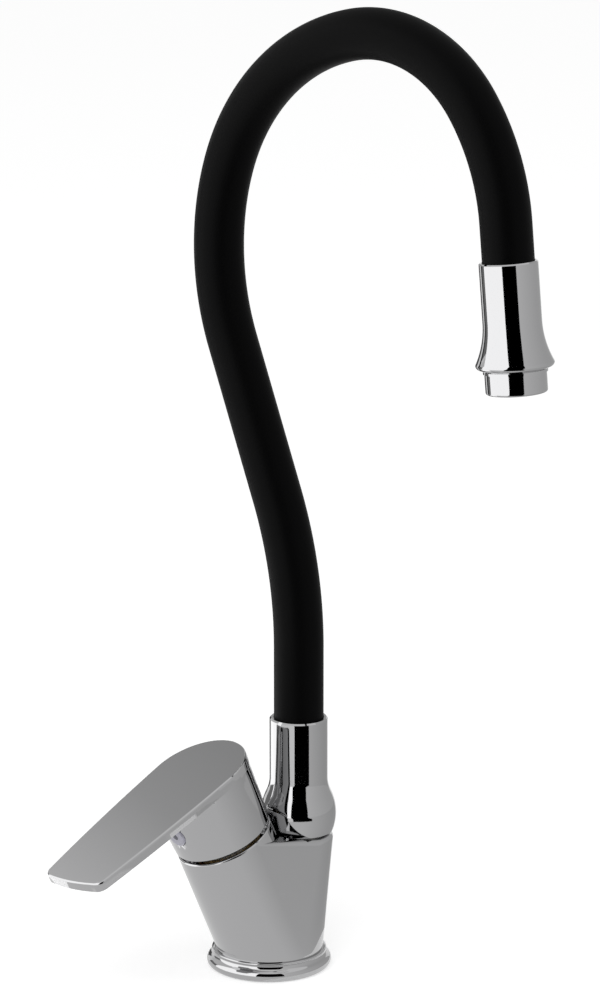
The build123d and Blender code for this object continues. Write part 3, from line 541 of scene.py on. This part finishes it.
# Seat of the cartridge under its dish, seat of the spout under its relief, stud hole and inlets.
# The drilled passages that join them are in the solid alone.
dish_mouth = 0.0193
dish_floor = 0.01605
dish_depth = 0.005
dish_middle = (0.01805, -0.00231)
nut_bore = 0.0137
nut_depth = 0.011
cartridge_bore = 0.01255
cartridge_depth = 0.0293
relief_radius = 0.0157
relief_top = 0.074
spout_bore = 0.009
spout_floor = 0.037
groove_radius = 0.0099
groove_low = 0.045
groove_top = 0.0466
well_radius = 0.004
well_floor = 0.033
stud_hole_radius = 0.0034
stud_hole_depth = 0.012
inlet_radius = 0.0045
inlet_depth = 0.014
inlet_y = 0.0105
across = hub_up.cross(ring_back)
ring_place = place_along(ring_back, across, hub_up, ring_centre)
dish_profile = (
    [(0, overrun), (dish_mouth, overrun)]
    + arc_through((dish_mouth, 0), dish_middle, (dish_floor, -dish_depth), count=12)
    + [(nut_bore, -dish_depth), (nut_bore, -nut_depth), (cartridge_bore, -nut_depth)]
    + [(cartridge_bore, -cartridge_depth), (0, -cartridge_depth)]
)
spout_profile = (
    [(0, relief_top), (relief_radius, relief_top), (relief_radius, boss_centre.z)]
    + [(spout_bore, boss_centre.z), (spout_bore, groove_top), (groove_radius, groove_top)]
    + [(groove_radius, groove_low), (spout_bore, groove_low), (spout_bore, spout_floor)]
    + [(well_radius, spout_floor), (well_radius, well_floor), (0, well_floor)]
)
work(body, turned("dish_tool", dish_profile, ring_place))
spout_place = Matrix.Translation((spout_offset, 0, 0))
work(body, turned("spout_tool", spout_profile, spout_place))
for y, radius, depth in (
    (0, stud_hole_radius, stud_hole_depth),
    (inlet_y, inlet_radius, inlet_depth),
    (-inlet_y, inlet_radius, inlet_depth),
):
    hole_profile = [(0, -overrun), (radius, -overrun), (radius, depth), (0, depth)]
    work(body, turned("hole_tool", hole_profile, Matrix.Translation((0, y, 0)), steps=48))
smooth(body, body_crease)
dress(body, chrome)
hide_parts("mixer_body")
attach(body, "root")

# Base ring: turned brass, chromed. A half-round edge, a hollow and a small bead lead up to
# the body's foot.
base_radius = 0.0252
base_edge_height = 0.0048
base_shoulder = 0.0238
base_foot = 0.0229
cove_radius = 0.0228
cove_height = 0.0065
bead_radius = 0.0232
bead_top = 0.0077
ring_bore_radius = 0.01935
gasket_outer_radius = 0.0224
gasket_inner_radius = 0.0204
gasket_depth = 0.0016
cove_sag = 0.0003
edge_arc = arc_through(
    (base_foot, 0),
    (base_radius, base_edge_height / 2),
    (base_shoulder, base_edge_height),
    count=18,
)
cove_arc = arc_through(
    (base_shoulder, base_edge_height),
    ((base_shoulder + cove_radius) / 2 - cove_sag, (base_edge_height + cove_height) / 2),
    (cove_radius, cove_height),
    count=8,
)
bead_arc = arc_through(
    (cove_radius, cove_height),
    (bead_radius, (cove_height + bead_top) / 2),
    (cove_radius, bead_top),
    count=10,
)
base_profile = (
    [(ring_bore_radius, 0), (gasket_inner_radius, 0), (gasket_inner_radius, gasket_depth)]
    + [(gasket_outer_radius, gasket_depth), (gasket_outer_radius, 0)]
    + edge_arc
    + cove_arc[1:]
    + bead_arc[1:]
    + [(foot_radius, bead_top), (foot_radius, foot_height)]
    + [(ring_bore_radius, foot_height)]
)
base = turned("base_ring_turned", base_profile, Matrix.Identity(4))
dress(base, chrome)
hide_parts("base_ring")
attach(base, "root")

rubber = surface(
    "seal_rubber",
    colour=(0.012, 0.012, 0.012),
    metallic=0.0,
    smoothest=0.6,
    roughest=0.8,
    grain_scale=900.0,
    bump_height=0.000004,
)
dress(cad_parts["base_gasket"], rubber)

# Handle: hub and flat lever, cast in one piece and chromed. A round hole under the lever leads
# to the grub screw that clamps the hub on its spindle.
lever_turn = radians(14.0)
plug_height = 0.0144
plug_radius = 0.0044
plug_back = 0.01913
plug_front = 0.02113
plug_hole_radius = 0.0046
handle_crease = 28
lever_front = -ring_back * cos(lever_turn) - across * sin(lever_turn)
lever_side = hub_up.cross(lever_front)
plug_middle = ring_centre + hub_up * plug_height
plug_place = place_along(hub_up, -lever_side, lever_front, plug_middle)
plug_hole_profile = (
    [(0, plug_back), (plug_hole_radius, plug_back)]
    + [(plug_hole_radius, plug_front + overrun), (0, plug_front + overrun)]
)
handle = bpy.data.objects.new("handle_casting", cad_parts["handle"].data.copy())
scene.collection.objects.link(handle)
smooth(handle, handle_crease)
work(handle, turned("plug_tool", plug_hole_profile, plug_place, steps=96))
smooth(handle, handle_crease)
dress(handle, chrome)
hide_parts("handle")
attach(handle, "lever")

# Index plug: a clear plastic button with a dark blue dot moulded under its face. It closes the
# hole of the handle's grub screw.
def rounded(radius, height, size):
    """Points round the edge between a piece's side and its end."""
    bends = [pi / 2 * step / round_steps for step in range(round_steps + 1)]
    return [
        (radius - size * (1 - cos(bend)), height - size * (1 - sin(bend))) for bend in bends
    ]


plug_round = 0.0005
plug_dot_radius = 0.0012
plug_dot_edge = 0.0002
plug_profile = (
    [(0, plug_back), (plug_radius, plug_back)]
    + rounded(plug_radius, plug_front, plug_round)
    + [(0, plug_front)]
)
plug = turned("index_button", plug_profile, plug_place, steps=64)

clear_plastic = bpy.data.materials.new("clear_plug")
clear_plastic.use_nodes = True
plug_nodes = clear_plastic.node_tree.nodes
plug_links = clear_plastic.node_tree.links
plug_shader = plug_nodes["Principled BSDF"]
plug_shader.inputs["Roughness"].default_value = 0.1
plug_shader.inputs["Coat Weight"].default_value = 0.6
plug_spot = plug_nodes.new("ShaderNodeTexCoord")
dot_distance = plug_nodes.new("ShaderNodeVectorMath")
dot_distance.operation = "DISTANCE"
dot_distance.inputs[1].default_value = plug_middle + lever_front * plug_front
dot_edge = plug_nodes.new("ShaderNodeMapRange")
dot_edge.inputs["From Min"].default_value = plug_dot_radius
dot_edge.inputs["From Max"].default_value = plug_dot_radius + plug_dot_edge
plug_colour = plug_nodes.new("ShaderNodeMix")
plug_colour.data_type = "RGBA"
plug_colour.inputs["A"].default_value = (0.012, 0.012, 0.05, 1)
plug_colour.inputs["B"].default_value = (0.60, 0.59, 0.70, 1)
plug_links.new(plug_spot.outputs["Object"], dot_distance.inputs[0])
plug_links.new(dot_distance.outputs["Value"], dot_edge.inputs["Value"])
plug_links.new(dot_edge.outputs[0], plug_colour.inputs["Factor"])
plug_links.new(plug_colour.outputs["Result"], plug_shader.inputs["Base Color"])
dress(plug, clear_plastic)
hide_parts("index_plug")
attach(plug, "lever")

# Spout collar: turned brass, chromed, with a bulge over its foot. It turns on the body and
# holds the hose's lower end.
collar_radius = 0.01175
collar_bulge_radius = 0.0152
collar_foot_radius = 0.0139
collar_low = 0.05485
bulge_height = 0.062
shoulder_height = 0.077
collar_height = 0.102
collar_lip = 0.0006
hose_seat_radius = 0.0102
hose_seat_height = 0.0842
shank_socket_radius = 0.008
shank_skirt_radius = 0.009
shank_skirt_height = 0.0564
shoulder_turn = 2 * atan2(collar_bulge_radius - collar_radius, shoulder_height - bulge_height)
foot_turn = 2 * atan2(collar_bulge_radius - collar_foot_radius, bulge_height - collar_low)
bulge_curve = (bulge_height - collar_low) / sin(foot_turn)
hollow_curve = (shoulder_height - bulge_height) / sin(shoulder_turn) - bulge_curve
arc_steps = 20
hollow_turns = [shoulder_turn * step / arc_steps for step in range(arc_steps + 1)]
bulge_turns = [
    shoulder_turn - (shoulder_turn + foot_turn) * step / arc_steps
    for step in range(1, arc_steps + 1)
]
collar_profile = (
    [(hose_seat_radius, hose_seat_height), (hose_seat_radius, collar_height)]
    + [(collar_radius - collar_lip, collar_height), (collar_radius, collar_height - collar_lip)]
    + [
        (
            collar_radius + hollow_curve * (1 - cos(turn)),
            shoulder_height - hollow_curve * sin(turn),
        )
        for turn in hollow_turns
    ]
    + [
        (
            collar_bulge_radius - bulge_curve * (1 - cos(turn)),
            bulge_height + bulge_curve * sin(turn),
        )
        for turn in bulge_turns
    ]
    + [(shank_skirt_radius, collar_low), (shank_skirt_radius, shank_skirt_height)]
    + [(shank_socket_radius, shank_skirt_height), (shank_socket_radius, hose_seat_height)]
)
collar = turned("collar_turned", collar_profile, spout_place)
dress(collar, chrome)
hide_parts("spout_collar")
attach(collar, "spout_base")

# Neck: a water tube runs inside a stiff core of ball-jointed links, and a black silicone hose
# covers both. Hose and tube are made in eight stretches: the first rides on the spout's base,
# the last on the outlet, and the six between stay where they are built.
neck_runs = [0.047, 0.062, 0.064, 0.0725, 0.088, 0.065, 0.047, 0.030]
neck_turns = [0.0, -21.0, 0.0, 39.5, 59.5, 66.0, 30.5, 0.0]
neck_bodies = ["spout_base", "neck_2", "neck_3", "neck_4", "neck_5", "neck_6", "outlet"]
spout_turn = -70.0
hose_radius = 0.010
hose_bore_radius = 0.008
water_tube_radius = 0.004
water_bore_radius = 0.003
ring_spacing = 0.0016
hose_crease = 40
upwards = Vector((0, 0, 1))
neck_foot = Vector((spout_offset, 0, hose_seat_height))
neck_reach = Vector((cos(radians(spout_turn)), sin(radians(spout_turn)), 0))
neck_side = upwards.cross(neck_reach)


def neck_place(station):
    """A point of the neck's centre line and the way that the neck runs there."""
    across, up, heading, left = 0, 0, 0, station
    for length, turn in zip(neck_runs, neck_turns):
        part = min(left, length)
        if turn == 0:
            across += part * sin(heading)
            up += part * cos(heading)
        else:
            radius = length / radians(turn)
            after = heading + part / radius
            across += radius * (cos(heading) - cos(after))
            up += radius * (sin(after) - sin(heading))
            heading = after
        left -= part
        if left <= 0:
            break
    along = neck_reach * sin(heading) + upwards * cos(heading)
    return neck_foot + neck_reach * across + upwards * up, along


def skin(name, loops):
    """A closed surface through rings of points, from the last ring back to the first."""
    count = len(loops[0])
    points = [point for loop in loops for point in loop]
    faces = []
    for row in range(len(loops)):
        here, there = row * count, (row + 1) % len(loops) * count
        for index in range(count):
            after = (index + 1) % count
            faces.append((here + index, here + after, there + after, there + index))
    return solid(name, points, faces, hose_crease)


def neck_ring(station, radius, sides):
    """A ring of points round the neck's centre line."""
    centre, along = neck_place(station)
    other = along.cross(neck_side)
    turns = [2 * pi * side / sides for side in range(sides)]
    return [centre + radius * (neck_side * cos(turn) + other * sin(turn)) for turn in turns]


def neck_pipe(name, start, end, outer, inner, sides):
    """A pipe along the neck between two stations."""
    steps = max(2, round((end - start) / ring_spacing))
    stations = [start + (end - start) * step / steps for step in range(steps + 1)]
    outside = [neck_ring(station, outer, sides) for station in stations]
    inside = [neck_ring(station, inner, sides) for station in reversed(stations)]
    return skin(name, outside + inside)


silicone = surface(
    "black_silicone",
    colour=(0.0015, 0.0015, 0.0016),
    metallic=0.0,
    smoothest=0.42,
    roughest=0.55,
    grain_scale=700.0,
    bump_height=0.000003,
)
silicone_shader = silicone.node_tree.nodes["Principled BSDF"]
silicone_shader.inputs["Specular IOR Level"].default_value = 0.04
tube_plastic = surface(
    "tube_plastic",
    colour=(0.7, 0.7, 0.68),
    metallic=0.0,
    smoothest=0.3,
    roughest=0.4,
    grain_scale=300.0,
    bump_height=0.000002,
)

hose_sides = 72
water_tube_sides = 24
neck_stations = [sum(neck_runs[:index]) for index in range(len(neck_runs) + 1)]
for number in range(1, len(neck_runs) + 1):
    start, end = neck_stations[number - 1], neck_stations[number]
    for what, outer, inner, sides, finish, slot in (
        (
            "hose_sleeve",
            hose_radius,
            hose_bore_radius,
            hose_sides,
            silicone,
            "black_silicone",
        ),
        (
            "water_tube",
            water_tube_radius,
            water_bore_radius,
            water_tube_sides,
            tube_plastic,
            "tube_plastic",
        ),
    ):
        pipe = neck_pipe(f"{what}_run_{number}", start, end, outer, inner, sides)
        dress(pipe, finish)
        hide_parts(f"{what}_{number}")
        if number == 1:
            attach(pipe, neck_bodies[0])
        elif number == len(neck_runs):
            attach(pipe, neck_bodies[-1])
        else:
            first, last = neck_place(start)[0], neck_place(end)[0]
            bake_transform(pipe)

# Outlet bell: turned brass, chromed. It is a plain sleeve at the hose and flares to a round rim.
bell_seat_depth = 0.016
bell_radius = 0.0113
bell_rim_radius = 0.0151
bell_length = 0.0405
bell_lip = 0.0005
bell_flare_start = 0.0227
bell_rim_round = 0.0018
bell_web_end = 0.0284
bell_thread_radius = 0.0112
neck_length = neck_stations[-1]
tip_origin, tip_along = neck_place(neck_length - bell_seat_depth)
tip_across = neck_side.cross(tip_along)
tip_place = place_along(tip_across, neck_side, tip_along, tip_origin)
flare_fall = bell_length - bell_rim_round - bell_flare_start
flare_turn = 2 * atan2(bell_rim_radius - bell_radius, flare_fall)
flare_curve = flare_fall / sin(flare_turn)
bell_profile = (
    [(hose_seat_radius, bell_seat_depth), (hose_seat_radius, 0), (bell_radius - bell_lip, 0)]
    + [(bell_radius, bell_lip)]
    + [
        (
            bell_radius + flare_curve * (1 - cos(flare_turn * step / arc_steps)),
            bell_flare_start + flare_curve * sin(flare_turn * step / arc_steps),
        )
        for step in range(arc_steps + 1)
    ]
    + arc_through(
        (bell_rim_radius, bell_length - bell_rim_round),
        (bell_rim_radius - bell_rim_round / 4, bell_length - bell_rim_round / 3),
        (bell_rim_radius - bell_rim_round, bell_length),
        count=10,
    )[1:]
    + [(bell_thread_radius, bell_length), (bell_thread_radius, bell_web_end)]
    + [(shank_socket_radius, bell_web_end), (shank_socket_radius, bell_seat_depth)]
)
bell = turned("bell_turned", bell_profile, tip_place)
dress(bell, chrome)
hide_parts("outlet_bell")
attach(bell, "outlet")

# Aerator: a chromed housing screwed into the bell, with a pale plastic grid at its mouth. A
# dark line shows where the housing meets the bell's rim.
aerator_radius = 0.0119
aerator_lip_radius = 0.0124
aerator_lip_top = 0.0411
aerator_lip_low = 0.0421
aerator_low = 0.0300
aerator_bottom = 0.0501
aerator_thread_radius = 0.01115
aerator_bore_radius = 0.0094
aerator_ledge = 0.0008
aerator_round = 0.0010
aerator_profile = (
    [(aerator_bore_radius, aerator_low), (aerator_thread_radius, aerator_low)]
    + [(aerator_thread_radius, aerator_lip_top), (aerator_lip_radius, aerator_lip_top)]
    + [(aerator_lip_radius, aerator_lip_low), (aerator_radius, aerator_lip_low)]
    + rounded(aerator_radius, aerator_bottom, aerator_round)
    + [(aerator_bore_radius - aerator_ledge, aerator_bottom)]
    + [(aerator_bore_radius - aerator_ledge, aerator_bottom - aerator_ledge)]
    + [(aerator_bore_radius, aerator_bottom - aerator_ledge)]
)
aerator = turned("aerator_turned", aerator_profile, tip_place)
dress(aerator, chrome)
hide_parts("aerator_housing")
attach(aerator, "outlet")

aerator_plastic = surface(
    "aerator_plastic",
    colour=(0.55, 0.56, 0.58),
    metallic=0.0,
    smoothest=0.35,
    roughest=0.5,
    grain_scale=800.0,
    bump_height=0.000003,
)
for name in ("aerator_insert", "aerator_grid"):
    dress(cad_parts[name], aerator_plastic)

# Inner pieces: brass, steel, ceramic, plastic and rubber that the chrome covers. They keep
# their own shape and get the finish that the real ones have.
brass = surface(
    "raw_brass",
    colour=(0.60, 0.42, 0.17),
    metallic=1.0,
    smoothest=0.22,
    roughest=0.38,
    grain_scale=500.0,
    bump_height=0.000002,
)
steel = surface(
    "steel",
    colour=(0.52, 0.52, 0.51),
    metallic=1.0,
    smoothest=0.2,
    roughest=0.34,
    grain_scale=600.0,
    bump_height=0.000002,
)
ceramic = surface(
    "ceramic",
    colour=(0.80, 0.79, 0.76),
    metallic=0.0,
    smoothest=0.15,
    roughest=0.22,
    grain_scale=900.0,
    bump_height=0.000001,
)
cartridge_plastic = surface(
    "cartridge_plastic",
    colour=(0.74, 0.74, 0.71),
    metallic=0.0,
    smoothest=0.35,
    roughest=0.5,
    grain_scale=500.0,
    bump_height=0.000003,
)
inner_finishes = {
    "cartridge_nut": brass,
    "neck_lower_fitting": brass,
    "neck_upper_fitting": brass,
    "outlet_nipple": brass,
    "spout_shank": brass,
    "pivot_pin": steel,
    "spindle": steel,
    "handle_grub_screw": steel,
    "spout_clip": steel,
    "aerator_screen": steel,
    "fixed_disc": ceramic,
    "moving_disc": ceramic,
    "cartridge_base": cartridge_plastic,
    "cartridge_housing": cartridge_plastic,
    "disc_carrier": cartridge_plastic,
    "turret": cartridge_plastic,
    "slip_ring": cartridge_plastic,
    "port_seals": rubber,
    "shank_seals": rubber,
    "aerator_washer": rubber,
}
for name, finish in inner_finishes.items():
    dress(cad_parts[name], finish)
link_finish = surface(
    "core_link_plastic",
    colour=(0.05, 0.05, 0.055),
    metallic=0.0,
    smoothest=0.35,
    roughest=0.5,
    grain_scale=500.0,
    bump_height=0.000003,
)
for number in range(1, len(neck_bodies) + 1):
    dress(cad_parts[f"core_link_{number}"], link_finish)
